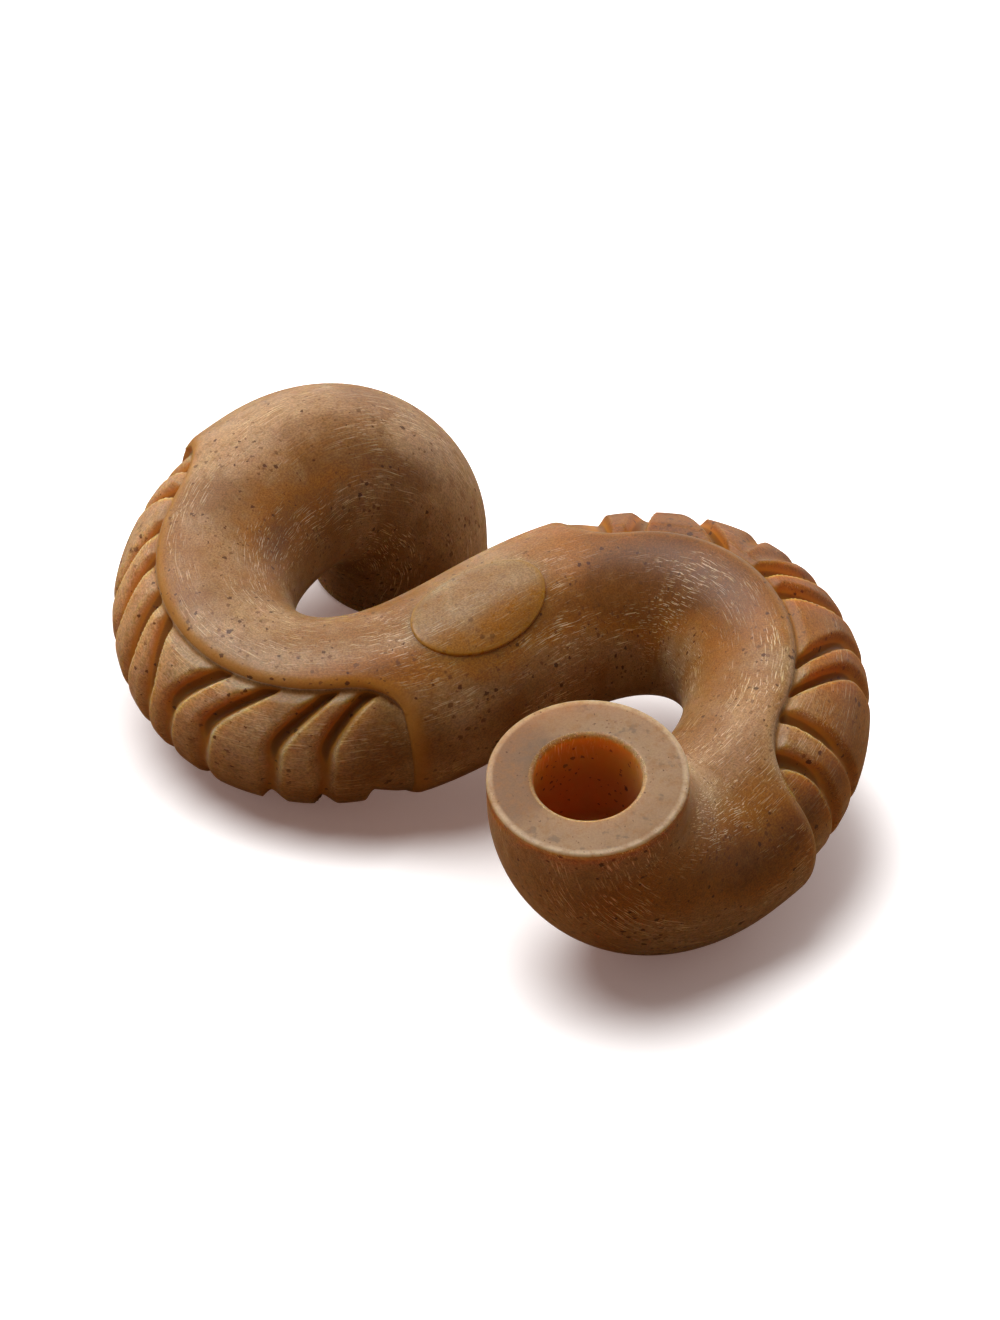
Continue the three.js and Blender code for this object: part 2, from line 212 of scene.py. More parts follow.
metres = setting(FloatProperty, unit="LENGTH", precision=5)
radians = setting(FloatProperty, unit="ROTATION")
share = setting(FloatProperty, subtype="FACTOR", min=0, max=1)
number = setting(FloatProperty)
colour = setting(FloatVectorProperty, size=3, subtype="COLOR", min=0, max=1)
direction = setting(FloatVectorProperty, size=3, subtype="DIRECTION", precision=6)


def angle(name, description, degrees):
    """A setting for an angle, with its value in degrees."""
    return radians(name, description, math.radians(degrees))


class ChewBarSizes(PropertyGroup):
    """One half of the round bar, from its middle to an end face."""

    tube_radius: metres("Bar radius", "Half the thickness of the bar", 0.016)
    bend_length: metres("Bend length", "From the bar's middle to the tightest bend", 0.036)
    bend_radius: metres("Bend radius", "Centreline radius of the tightest bend", 0.0197)
    loop_length: metres("Loop length", "From the tightest bend to the elbow", 0.060)
    loop_radius: metres("Loop radius", "Centreline radius where the elbow starts", 0.057)
    elbow_radius: metres("Elbow radius", "The elbow turns the end square to the S", 0.024)
    stub_length: metres("Stub length", "Straight length behind the end face", 0.0056)
    lip_flare: metres("Lip flare", "Swelling at the far end of each tread", 0.001)
    flare_reach: metres("Flare reach", "Length of the swelling along the bar", 0.018)
    lip_round: metres("Lip round", "Width of the bend down to each tread's lip", 0.0017)
    heading: angle("Heading", "Direction of the bar's middle, seen from above", 38.2)
    rest_up: direction(
        "Up at rest", "Which way in the plane of the S is up at rest",
        (0.226380, 0.133373, 0.964865))


class ChewCupSizes(PropertyGroup):
    """The cup in each end of the bar."""

    bore_radius: metres("Bore radius", "Half the width of the cup", 0.0086)
    bore_depth: metres("Bore depth", "From the end face to the cup's floor", 0.021)
    mouth_round: metres("Mouth round", "Rounding of the cup's mouth", 0.0008)
    floor_round: metres("Floor round", "Rounding between the cup's wall and floor", 0.0025)
    rim_round: metres("Rim round", "Rounding of the end face's outer edge", 0.0005)
    neck_place: metres("Neck place", "From the end face to the neck under its edge", 0.0015)
    neck_width: metres("Neck width", "Width of the neck", 0.0006)
    neck_depth: metres("Neck depth", "Depth of the neck", 0.0002)


class ChewTreadSizes(PropertyGroup):
    """The ribbed tread let into the outer side of each loop."""

    start: metres("Start", "From the bar's middle to the tread", 0.020)
    length: metres("Length", "Length of the tread along the bar", 0.070)
    upper: angle("Upper lip", "From the loop's outer side up to the lip", 81)
    lower: angle("Lower lip", "From the loop's outer side down to the lip", -64)
    start_corner: metres("Start corner", "Corner radius where the tread starts", 0.007)
    end_corner: metres("End corner", "Corner radius where the tread ends", 0.011)
    drop: metres("Drop", "Rib tops below the bar's surface", 0.0008)
    thickness: metres("Thickness", "From the rib tops to the underside", 0.004)
    clearance: metres("Clearance", "Gap between the tread and its seat", 0.00005)
    groove_first: metres("First groove", "From the tread's start to the first groove", 0.010)
    groove_last: metres("Last groove", "From the last groove to the tread's end", 0.006)
    width_middle: metres("Middle width", "Width of a groove over the middle", 0.0028)
    width_lip: metres("Lip width", "Width of a groove at the lips", 0.0040)
    depth_middle: metres("Middle depth", "Depth of a groove over the middle", 0.0011)
    depth_lip: metres("Lip depth", "Depth of a groove at the lips", 0.0026)
    lean_upper: angle("Upper lean", "Where grooves start to lean to the upper lip", 35)
    lean_lower: angle("Lower lean", "Where grooves start to lean to the lower lip", 20)
    channel_width: metres("Channel width", "Width of the hollow along the lips", 0.0030)
    channel_depth: metres("Channel depth", "Depth of the hollow along the lips", 0.0010)
    fillet: metres("Fillet", "Hollow where the tread meets its lip", 0.0011)
    slope_length: metres("Slope length", "Length of the slope at the tread's start", 0.0043)
    slope_depth: metres("Slope depth", "Depth of the slope at the tread's start", 0.0017)
    slope_rise: metres("Slope rise", "Steep rise from the slope to the first rib", 0.0014)
    ramp_length: metres("Ramp length", "Length of the hollow inside the tread's ends", 0.007)
    ramp_depth: metres("Ramp depth", "Depth of the hollow inside the tread's ends", 0.0005)


class ChewPadSizes(PropertyGroup):
    """The plain oval pad on the bar."""

    length: metres("Length", "Length of the pad along the bar", 0.025)
    width: metres("Width", "Width of the pad round the bar", 0.017)
    height: metres("Height", "How far the pad stands out", 0.0005)
    edge: metres("Edge round", "Rounding of the pad's edge", 0.0004)
    root: metres("Root", "How far the pad goes into the bar", 0.001)
    station: metres("Station", "From the bar's middle to the pad's", -0.002)
    turn: angle("Angle", "Angle round the bar of the pad's middle", 95)


class ChewNylonLook(PropertyGroup):
    """Colours and finish of the nylon."""

    tan: colour("Tan", "Pale clouds", (0.405, 0.234, 0.108))
    # Pale patches: painted light mixed with paler tone in the nylon
    pale: colour("Pale", "Pale patches", (0.50, 0.298, 0.148))
    brown: colour("Brown", "Dark clouds", (0.265, 0.113, 0.028))
    # Amber: the nylon's cloudy tone, and painted shade in the patches
    amber_tone_and_painted_shade: colour("Amber", "Amber clouds and patches", (0.36, 0.131, 0.016))
    glow: colour("Glow", "Where light comes through grooves and lips", (0.45, 0.170, 0.016))
    # Umber: painted shade deep in the grooves and in the darkest patches
    painted_shade_umber: colour("Umber", "Darkest patches, and deep in the grooves", (0.19, 0.066, 0.010))
    # Cup colours: painted glow inside the cups, darker deep inside as painted shade
    cup: colour("Cup", "Just inside the mouths of the cups", (0.62, 0.31, 0.035))
    cup_floor: colour("Cup floor", "Deep inside the cups", (0.52, 0.19, 0.05))
    face: colour("End face", "The flat ring round each cup", (0.29, 0.168, 0.080))
    stain: colour("Stain", "Grey stains on the end faces", (0.14, 0.085, 0.048))
    # Painted highlight on the rounded outer edges of the end faces
    painted_rim_highlight: colour("Worn edge", "The rubbed edges of the end faces", (0.52, 0.36, 0.22))
    fleck: colour("Fleck", "Dark flecks", (0.090, 0.030, 0.007))
    rust: colour("Rust", "Faint reddish flecks", (0.14, 0.050, 0.013))
    fibre: colour("Fibre", "Fine pale fibres in the surface", (0.92, 0.71, 0.43))
    fibres: share("Fibres", "Strength of the pale fibres", 0.78)
    tread_fibres: share("Tread fibres", "Share of the fibres that the treads have", 0.6)
    pad_clear: share("Clear pad", "How free the pad is of flecks and fibres", 0.4)
    roughness: share("Roughness", "Roughness of the moulded surface", 0.40)
    tread_roughness: share("Tread roughness", "Roughness of the treads", 0.44)
    polish: share("Polish", "Roughness of the polished pad", 0.3)
    gloss: share("Gloss", "Strength of the reflections", 0.24)
    sheen: share("Sheen", "Strength of the soft haze on the surface", 0.05)
    sheen_tint: colour("Sheen tint", "Colour of the soft haze", (1.0, 0.86, 0.80))
    translucence: share("Translucence", "Share of the light that enters the nylon", 0.9)
    light_depth: metres("Light depth", "How deep the light goes into the nylon", 0.012)


class ChewStageLook(PropertyGroup):
    """Floor, lamps and camera."""

    floor: colour("Floor", "Colour of the floor", (0.98, 0.98, 0.98))
    bounce: colour("Floor bounce", "Light that the floor throws back", (0.26, 0.138, 0.056))
    shadow: colour("Shadow", "What is left in the deepest shadow", (0.135, 0.075, 0.060))
    lift: share("Lift", "How much the open floor is lifted to white", 0.55)
    lift_reach: metres("Lift reach", "How far round the chew the shadow stays", 0.03)
    sky: number("Sky", "Even light all round", 0.05)
    backdrop: number("Backdrop", "Light from the backdrop", 1.3)
    side: number("Side light", "Light from both sides", 0.3)
    lamp: number("Lamp", "Strength of the soft lamp above", 2.75)
    fill: number("Fill", "Strength of the low fill lamp", 0.08)
    lamp_spread: angle("Lamp spread", "Width of the lamps, as an angle", 44)
    lamp_from: direction("Lamp from", "Direction of the lamp", (-0.38, 0.10, 0.92))
    fill_from: direction("Fill from", "Direction of the fill lamp", (-0.25, -0.85, 0.45))
    distance: metres("Distance", "From the camera to the chew's middle", 0.77713)
    elevation: angle("Elevation", "Height of the camera above the horizon", 34.583)
    roll: angle("Roll", "Turn of the camera about its line of sight", 5.311)
    lens: number("Lens", "Focal length in mm", 125.45)
    shift: FloatVectorProperty(
        name="Shift", description="Shift of the picture", default=(0.01002, -0.00262), size=2,
        precision=5)


class ChewSettings(PropertyGroup):
    """All settings of the chew."""

    bar: PointerProperty(type=ChewBarSizes)
    cup: PointerProperty(type=ChewCupSizes)
    tread: PointerProperty(type=ChewTreadSizes)
    pad: PointerProperty(type=ChewPadSizes)
    nylon: PointerProperty(type=ChewNylonLook)
    stage: PointerProperty(type=ChewStageLook)


def smooth(value, low, high):
    """0 up to low, 1 from high, and a smooth step between."""
    t = np.clip((value - low) / (high - low), 0, 1)
    return t * t * (3 - 2 * t)


def ease(value, low, high):
    """0 up to low, then ever steeper to 1 at high."""
    return np.clip((value - low) / (high - low), 0, EASE_LIMIT) ** EASE_POWER


def mix(a, b, t):
    """From a at 0 to b at 1."""
    return a + (b - a) * t


def half_sign(station):
    """-1 on the left half of the bar and 1 on the right."""
    return np.where(station < 0, -1, 1)


class Bar:
    """The bent bar: turns a station along it, an angle round it and a radius into a point."""

    def __init__(self, settings):
        self.sizes, self.cup, self.tread = settings.bar, settings.cup, settings.tread
        sizes = self.sizes
        self.loop_end = sizes.bend_length + sizes.loop_length
        self.half = self.loop_end + sizes.elbow_radius * QUARTER + sizes.stub_length
        self.count = math.ceil(self.half / PATH_STEP)
        self.step = self.half / self.count
        middle = (np.arange(self.count) + 0.5) * self.step
        past = np.clip((middle - sizes.bend_length) / sizes.loop_length, 0, 1)
        bend = np.where(
            middle < sizes.bend_length,
            middle / sizes.bend_length / sizes.bend_radius,
            mix(1 / sizes.bend_radius, 1 / sizes.loop_radius, past))
        self.headings = np.concatenate([[0], np.cumsum(bend * self.step)])
        way = self.tangent((self.headings[1:] + self.headings[:-1]) / 2, self.climb(middle))
        self.places = np.concatenate([np.zeros((1, 3)), np.cumsum(way * self.step, axis=0)])
        self.turn = self.rest_turn()

    def climb(self, station):
        """How far the elbow has turned the bar out of the plane of the S."""
        past = np.abs(station) - self.loop_end
        return np.clip(past / self.sizes.elbow_radius, 0, QUARTER)

    @staticmethod
    def tangent(heading, climb):
        level = np.cos(climb)
        return np.stack([level * np.cos(heading), -level * np.sin(heading), np.sin(climb)], -1)

    def rest_turn(self):
        """The turn from the plane of the S to the way the chew lies."""
        up = np.array(self.sizes.rest_up)
        up /= np.linalg.norm(up)
        ahead = np.array([1.0, 0, 0]) - up * up[0]
        ahead /= np.linalg.norm(ahead)
        upright = np.stack([ahead, np.cross(up, ahead), up])
        c, s = math.cos(self.sizes.heading), math.sin(self.sizes.heading)
        return np.array([[c, -s, 0], [s, c, 0], [0, 0, 1]]) @ upright

    def directions(self, station):
        """Place, along, outer and up at each station, in the plane of the S."""
        exact = np.minimum(np.abs(station) / self.step, self.count)
        low = np.minimum(exact.astype(int), self.count - 1)
        rest = (exact - low)[..., None]
        place = mix(self.places[low], self.places[low + 1], rest) * half_sign(station)[..., None]
        heading = mix(self.headings[low], self.headings[low + 1], rest[..., 0])
        along = self.tangent(heading, self.climb(station))
        outer = np.stack([np.sin(heading), np.cos(heading), np.zeros_like(heading)], -1)
        return place, along, outer, np.cross(along, outer)

    def point(self, station, turn, radius, ahead):
        """Points in the chew's frame; ahead moves them along the bar's direction."""
        station, turn, radius, ahead = np.broadcast_arrays(station, turn, radius, ahead)
        place, along, outer, up = self.directions(station.astype(float))
        out = np.cos(turn)[..., None] * outer + np.sin(turn)[..., None] * up
        flat = place + radius[..., None] * out + ahead[..., None] * along
        return flat @ self.turn.T + np.array(CENTRE)

    def radius(self, station, turn):
        """The bar's radius, with its swellings and the neck at each end."""
        sizes, cup, tread = self.sizes, self.cup, self.tread
        past = (np.abs(station) - tread.start - tread.length) / sizes.flare_reach
        swell = np.maximum(1 - np.abs(past), 0) ** 2
        outward = np.maximum(half_sign(station) * np.cos(turn), 0)
        from_neck = (self.half - np.abs(station) - cup.neck_place) / cup.neck_width
        neck = cup.neck_depth * np.exp(-from_neck ** 2)
        return sizes.tube_radius + sizes.lip_flare * swell * outward - neck


def straightened(station, turn, radius):
    """Where points would be if the bar were straight: the nylon's grain follows this."""
    station, turn, radius = np.broadcast_arrays(station, turn, radius)
    return np.stack([station, radius * np.cos(turn), radius * np.sin(turn)], -1)


def patches_at(station, turn):
    """Sum of the patches at each point of the bar, from -2 for umber to 1 for pale: painted light
    and shade mixed with the nylon's tone.
    """
    tone = np.zeros(np.broadcast_shapes(np.shape(station), np.shape(turn)))
    for at, degrees, along, wide, strength in TONE_AND_PAINTED_LIGHT_PATCHES:
        off = (np.degrees(turn) - degrees + 180) % 360 - 180
        tone = tone + strength * np.exp(-((station - at) / along) ** 2 - (off / wide) ** 2)
    return np.clip(tone, -2, 1)


def corner_inset(distance, radius):
    """How far a round corner cuts in, at a distance from the end."""
    short = radius - np.clip(distance, 0, radius)
    return radius - np.sqrt(np.maximum(radius ** 2 - short ** 2, 0))


def tread_half_angle(tread, tube_radius, station):
    """Half the angle that a tread covers at each station."""
    inset = corner_inset(station - tread.start, tread.start_corner)
    inset = inset + corner_inset(tread.start + tread.length - station, tread.end_corner)
    return (tread.upper - tread.lower) / 2 - inset / tube_radius


def tread_turn(tread, half, across):
    """Angles round the bar on a tread, which runs across from -1 at the lower lip to 1."""
    return (tread.upper + tread.lower) / 2 + across * half


class Skin:
    """Collects points of a piece, their marks and its faces, and turns them into a mesh."""

    def __init__(self, bar):
        self.bar = bar
        self.points, self.grain, self.faces, self.count = [], [], [], 0
        self.marks = {"glow": [], "tint": [], "patch": []}

    def lay(self, station, turn, radius, glow=0.0, tint=0.0, patch=0.0, ahead=0.0):
        """Adds points of the bar and gives back their numbers in the same shape."""
        points = self.bar.point(station, turn, radius, ahead)
        grain = straightened(station + ahead, turn, radius)
        shape = points.shape[:-1]
        numbers = self.count + np.arange(int(np.prod(shape))).reshape(shape)
        self.points.append(points.reshape(-1, 3))
        self.grain.append(grain.reshape(-1, 3))
        for title, value in (("glow", glow), ("tint", tint), ("patch", patch)):
            self.marks[title].append(np.broadcast_to(value, shape).reshape(-1))
        self.count += numbers.size
        return numbers

    def sheet(self, grid, keep=None):
        """Faces over a grid of points; keep leaves out some of them."""
        cells = [grid[:-1, :-1], grid[1:, :-1], grid[1:, 1:], grid[:-1, 1:]]
        if keep is not None:
            cells = [cell[keep] for cell in cells]
        self.faces.extend(np.stack([cell.ravel() for cell in cells], -1).tolist())

    def fan(self, ring, middle):
        """Faces from a ring of points to its middle."""
        closed = np.append(ring, ring[0])
        self.faces.extend([int(a), int(b), int(middle)] for a, b in zip(closed[:-1], closed[1:]))

    def build(self, name):
        """The closed smooth piece."""
        mesh = bpy.data.meshes.new(name)
        mesh.from_pydata(np.concatenate(self.points).tolist(), [], self.faces)
        layer = mesh.attributes.new("grain", "FLOAT_VECTOR", "POINT")
        layer.data.foreach_set("vector", np.concatenate(self.grain).astype(np.float32).ravel())
        for title, values in self.marks.items():
            layer = mesh.attributes.new(title, "FLOAT", "POINT")
            layer.data.foreach_set("value", np.concatenate(values).astype(np.float32))
        work = bmesh.new()
        work.from_mesh(mesh)
        loose = [point for point in work.verts if not point.link_faces]
        bmesh.ops.delete(work, geom=loose, context="VERTS")
        bmesh.ops.recalc_face_normals(work, faces=work.faces)
        if any(not edge.is_manifold for edge in work.edges):
            raise RuntimeError(f"{name} is not closed")
        if work.calc_volume(signed=True) < 0:
            bmesh.ops.reverse_faces(work, faces=work.faces)
        work.to_mesh(mesh)
        work.free()
        mesh.shade_smooth()
        piece = bpy.data.objects.new(name, mesh)
        bpy.context.scene.collection.objects.link(piece)
        return piece


def even(low, high, step):
    """Stations from low up to high, about a step apart, without the last one."""
    return np.linspace(low, high, max(int(round((high - low) / step)), 1), endpoint=False)


def round_in(distance, steps):
    """Distances that crowd together where a round corner meets the end."""
    return distance * (1 - np.cos(QUARTER * np.arange(steps) / steps))


def seat_ends(tread):
    """Stations where a seat starts and ends."""
    return tread.start - tread.clearance, tread.start + tread.length + tread.clearance


def body_stations(settings, bar):
    """Stations of one half, from the bar's middle to where the rim starts to round."""
    tread, roll = settings.tread, settings.bar.lip_round
    start, end = seat_ends(tread)
    near_lip = roll * np.arange(1, LIP_ROWS) / LIP_ROWS
    rim = bar.half - settings.cup.rim_round
    return np.concatenate([
        even(0, start - roll, BAR_ROW),
        np.flip(start - near_lip),
        start + round_in(tread.start_corner, SEAT_CORNER_ROWS[0]),
        even(start + tread.start_corner, end - tread.end_corner, SEAT_ROW),
        np.flip(end - round_in(tread.end_corner, SEAT_CORNER_ROWS[1])),
        end + near_lip,
        even(end + roll, rim - RIM_STRETCH, BAR_ROW),
        even(rim - RIM_STRETCH, rim, RIM_ROW),
        [rim]])


def seat_angles(settings, stations):
    """Lower and upper edge of the right seat; past its ends the lines spread again."""
    tread, radius = settings.tread, settings.bar.tube_radius
    start, end = seat_ends(tread)
    on_tread = np.interp(stations, [start, end], [tread.start, tread.start + tread.length])
    half = tread_half_angle(tread, radius, on_tread) + tread.clearance / radius
    full = (tread.upper - tread.lower) / 2
    before, after = SEAT_SPREAD
    spread = np.maximum(smooth(start - stations, 0, before), smooth(stations - end, 0, after))
    half = mix(half, np.maximum(half, full), spread)
    return tread_turn(tread, half, -1), tread_turn(tread, half, 1)


def body_angles(settings, stations):
    """Angles round the bar at each station: lines that follow the edges of both seats."""
    low, high = seat_angles(settings, stations)
    far_low, far_high = (edge + math.pi for edge in seat_angles(settings, -stations))
    over = np.arange(ARC_STEPS) / ARC_STEPS
    beside = (1 - np.cos(math.pi * np.arange(GAP_STEPS) / GAP_STEPS)) / 2
    arcs = ((low, high, over), (high, far_low, beside),
            (far_low, far_high, over), (far_high, low + 2 * math.pi, beside))
    return np.concatenate([mix(a[:, None], b[:, None], part) for a, b, part in arcs], axis=1)


def border(grid):
    """The closed line round the outside of a grid of points."""
    return np.concatenate([grid[0], grid[1:, -1], grid[-1, -2::-1], grid[-2::-1, 0]])


def ring_closed(grid):
    """A grid whose last column is its first one again."""
    return np.concatenate([grid, grid[:, :1]], axis=1)


def lip_distance(settings, seats, stations, angles):
    """How far each point of the bar is from the nearest lip."""
    places = straightened(stations[:, None], angles, settings.bar.tube_radius)
    lips = np.concatenate([border(places[rows][:, columns]) for rows, columns in seats])
    tree = KDTree(len(lips))
    for index, place in enumerate(lips.tolist()):
        tree.insert(place, index)
    tree.balance()
    far = [tree.find(place)[2] for place in places.reshape(-1, 3).tolist()]
    return np.array(far).reshape(angles.shape)


def add_seat(skin, settings, rows, columns, grid, stations, angles):
    """The seat of one tread: its floor and walls."""
    tread = settings.tread
    floor_radius = settings.bar.tube_radius - tread.drop - tread.thickness - tread.clearance
    floor = skin.lay(stations[rows][:, None], angles[rows][:, columns], floor_radius, 1.0, SEAM)
    skin.sheet(floor)
    skin.sheet(np.stack([border(grid[rows][:, columns]), border(floor)]))


def cup_profile(settings):
    """Radius and depth of each ring from the end face's edge into the cup."""
    cup = settings.cup
    edge = settings.bar.tube_radius - cup.rim_round
    mouth, low = cup.bore_radius + cup.mouth_round, cup.bore_depth - cup.floor_round
    small = cup.bore_radius - cup.floor_round
    rings = [(r, 0.0) for r in np.linspace(edge, mouth, FACE_RINGS)[1:]]
    for t in ROUND_TURNS:
        rings.append((mouth - cup.mouth_round * math.sin(t), cup.mouth_round * (1 - math.cos(t))))
    rings += [(cup.bore_radius, d) for d in np.linspace(cup.mouth_round, low, WALL_RINGS)[1:]]
    for t in ROUND_TURNS:
        rings.append((small + cup.floor_round * math.cos(t), low + cup.floor_round * math.sin(t)))
    rings += [(r, cup.bore_depth) for r in np.linspace(small, 0, FLOOR_RINGS)[1:-1]]
    return np.array(rings)


def add_end(skin, settings, side, ring, turn):
    """Closes one end of the bar: rounded rim, flat face and cup."""
    bar, cup = skin.bar, settings.cup
    end, base = side * bar.half, bar.half - cup.rim_round
    rings = [ring]
    # The rounded rim is marked for a painted highlight
    for t in ROUND_TURNS:
        s = side * (base + cup.rim_round * math.sin(t))
        r = bar.radius(s, turn) - cup.rim_round * (1 - math.cos(t))
        rings.append(skin.lay(s, turn, r, tint=PAINTED_HIGHLIGHT))
    for r, depth in cup_profile(settings):
        tint, patch = (FACE, patches_at(end, turn)) if depth == 0 else (0.0, 0.0)
        # The cup's depth sets its painted glow, darker deeper in as painted shade
        inside = -depth / cup.bore_depth
        rings.append(skin.lay(end, turn, r, inside, tint, patch, ahead=-side * depth))
    skin.sheet(ring_closed(np.stack(rings)))
    middle = skin.lay(np.array([end]), 0.0, 0.0, -1.0, ahead=-side * cup.bore_depth)
    skin.fan(rings[-1], middle[0])


class ChewBuildBody(Operator):
    """Build the bent bar with its cups and the seats of its treads"""

    bl_idname = "chew.build_body"
    bl_label = "Build body"

    def execute(self, context):
        settings = context.scene.chew
        bar = Bar(settings)
        skin = Skin(bar)
        half = body_stations(settings, bar)
        stations = np.concatenate([-half[:0:-1], half])
        angles = body_angles(settings, stations)
        s = stations[:, None] + np.zeros_like(angles)
        start, end = seat_ends(settings.tread)
        seats = []
        for side, first in ((1, 0), (-1, ARC_STEPS + GAP_STEPS)):
            on_seat = (side * stations > start - TOUCH) & (side * stations < end + TOUCH)
            seats.append((np.flatnonzero(on_seat), np.arange(first, first + ARC_STEPS + 1)))
        lip = lip_distance(settings, seats, stations, angles)
        bent = 1 - np.clip(lip / settings.bar.lip_round, 0, 1)
        radius = bar.radius(s, angles) - settings.tread.drop * bent ** 2
        # Painted glow along the lips, stronger on the left than on the right
        lip_glow = mix(LEFT_LIP_GLOW, RIGHT_LIP_GLOW, smooth(s, *LIP_GLOW_CHANGE))
        glow = lip_glow * (1 - smooth(lip, *LIP_GLOW_REACH))
        seam = SEAM * (1 - smooth(lip, 0, SEAM_REACH))
        grid = skin.lay(s, angles, radius, glow, seam, patches_at(s, angles))
        keep = np.ones((len(stations) - 1, angles.shape[1]), bool)
        for rows, columns in seats:
            add_seat(skin, settings, rows, columns, grid, stations, angles)
            keep[rows[0]:rows[-1], columns[0]:columns[-1]] = False
        skin.sheet(ring_closed(grid), keep)
        add_end(skin, settings, 1, grid[-1], angles[-1])
        add_end(skin, settings, -1, grid[0], angles[0])
        piece = skin.build("chew_body_moulding")
        look = settings.nylon
        piece.data.materials.append(nylon("moulded nylon", look, look.roughness))
        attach(piece, BODY)
        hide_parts("chew_body")
        return {"FINISHED"}


def groove_shape(place, skew):
    """Depth of a groove as a share, from -1 at its near edge to 1 at its far edge.

    A skew of 1 gives a long slope from the near edge and a crisp far edge, and -1 the reverse."""
    place = np.where(skew < 0, -place, place)
    skew = np.abs(skew)
    floor = GROOVE_FLOOR * skew
    wall = np.clip((1 - place) / (1 - floor), 0, 1)
    crisp = mix(smooth(wall, 0, 1), np.sin(QUARTER * wall), skew)
    return np.where(place < floor, smooth(place, -1, floor), crisp)


def grooves_at(tread, tube_radius, stations, across):
    """Depth of the deepest groove at each point of a tread."""
    pitch = (tread.length - tread.groove_first - tread.groove_last) / GROOVES[-1][0]
    wide = mix(tread.width_middle, tread.width_lip, across ** 2) / 2
    deep = mix(tread.depth_middle, tread.depth_lip, smooth(np.abs(across), *GROOVE_DEEPENS))
    skew = np.tanh(GROOVE_TILT * across)
    depth = np.zeros(np.broadcast_shapes(stations.shape, across.shape))
    for at, upper, lower, reach in GROOVES:
        middle = tread.start + tread.groove_first + at * pitch
        turn = tread_turn(tread, tread_half_angle(tread, tube_radius, middle), across)
        lean = upper * ease(turn, tread.lean_upper, tread.upper)
        lean = lean + lower * ease(-turn, tread.lean_lower, -tread.lower)
        left = mix(1, reach, smooth(across, 0, 1))
        place = (stations - middle - pitch * lean) / wide
        depth = np.maximum(depth, deep * left * groove_shape(place, skew))
    return depth


def tread_top(settings, stations, across):
    """How far each point of a tread is below the rib tops, and how far from the lip."""
    tread, tube_radius = settings.tread, settings.bar.tube_radius
    half = tread_half_angle(tread, tube_radius, stations)
    turn = tread_turn(tread, half, across)
    from_start = stations - tread.start
    from_ends = np.minimum(from_start, tread.start + tread.length - stations)
    to_side = (1 - np.abs(across)) * half * tube_radius
    channel = tread.channel_depth * (1 - smooth(to_side, 0, tread.channel_width))
    ramp = 1 - np.clip(from_ends / tread.ramp_length, 0, 1)
    ramp = tread.ramp_depth * ramp ** RAMP_POWER
    rise = smooth(from_start, tread.slope_length, tread.slope_length + tread.slope_rise)
    slope = np.clip(from_start / tread.slope_length, 0, 1) * (1 - rise)
    slope = tread.slope_depth * slope * smooth(turn, *SLOPE_ANGLES)
    hollows = (grooves_at(tread, tube_radius, stations, across), channel, ramp, slope)
    below = sum(hollow ** HOLLOW_POWER for hollow in hollows) ** (1 / HOLLOW_POWER)
    to_lip = np.minimum(to_side, from_ends)
    return below * (1 - (1 - np.clip(to_lip / tread.fillet, 0, 1)) ** 2), to_lip


def tread_stations(tread):
    """Rows along a tread, closer together at its rounded ends."""
    finish = tread.start + tread.length
    return np.concatenate([
        tread.start + round_in(tread.start_corner, TREAD_CORNER_ROWS[0]),
        even(tread.start + tread.start_corner, finish - tread.end_corner, TREAD_ROW),
        np.flip(finish - round_in(tread.end_corner, TREAD_CORNER_ROWS[1]))])


def build_tread(settings, name, side):
    """One ribbed tread: its ribbed top, its edge and its underside."""
    tread, tube_radius = settings.tread, settings.bar.tube_radius
    skin = Skin(Bar(settings))
    even_steps = np.linspace(-1, 1, STRIPS + 1)
    across = mix(even_steps, np.sin(QUARTER * even_steps), STRIP_CROWDING)
    stations = tread_stations(tread)[:, None]
    turn = tread_turn(tread, tread_half_angle(tread, tube_radius, stations), across)
    turn = turn + (0 if side > 0 else math.pi)
    below, to_lip = tread_top(settings, stations, across)
    s, rib_radius = side * stations, tube_radius - tread.drop
    # Painted glow in the grooves, turning to painted shade deep in them
    glow = smooth(below, *GROOVE_GLOW_DEPTH)
    seam = SEAM * (1 - smooth(to_lip, 0, SEAM_REACH))
    top = skin.lay(s, turn, rib_radius - below, glow, seam, patches_at(s, turn))
    foot = skin.lay(s, turn, rib_radius - tread.thickness, 1.0, SEAM)
    skin.sheet(top)
    skin.sheet(foot)
    skin.sheet(np.stack([border(top), border(foot)]))
    return skin.build(name)


class ChewBuildTreads(Operator):
    """Build the ribbed tread of each loop"""

    bl_idname = "chew.build_treads"
    bl_label = "Build treads"

    def execute(self, context):
        settings = context.scene.chew
        look = settings.nylon
        finish = nylon("ribbed nylon", look, look.tread_roughness, fibres=look.tread_fibres)
        for node, side in (("right_tread", 1), ("left_tread", -1)):
            piece = build_tread(settings, node + "_ribs", side)
            piece.data.materials.append(finish)
            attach(piece, BODY)
            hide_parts(node)
        return {"FINISHED"}


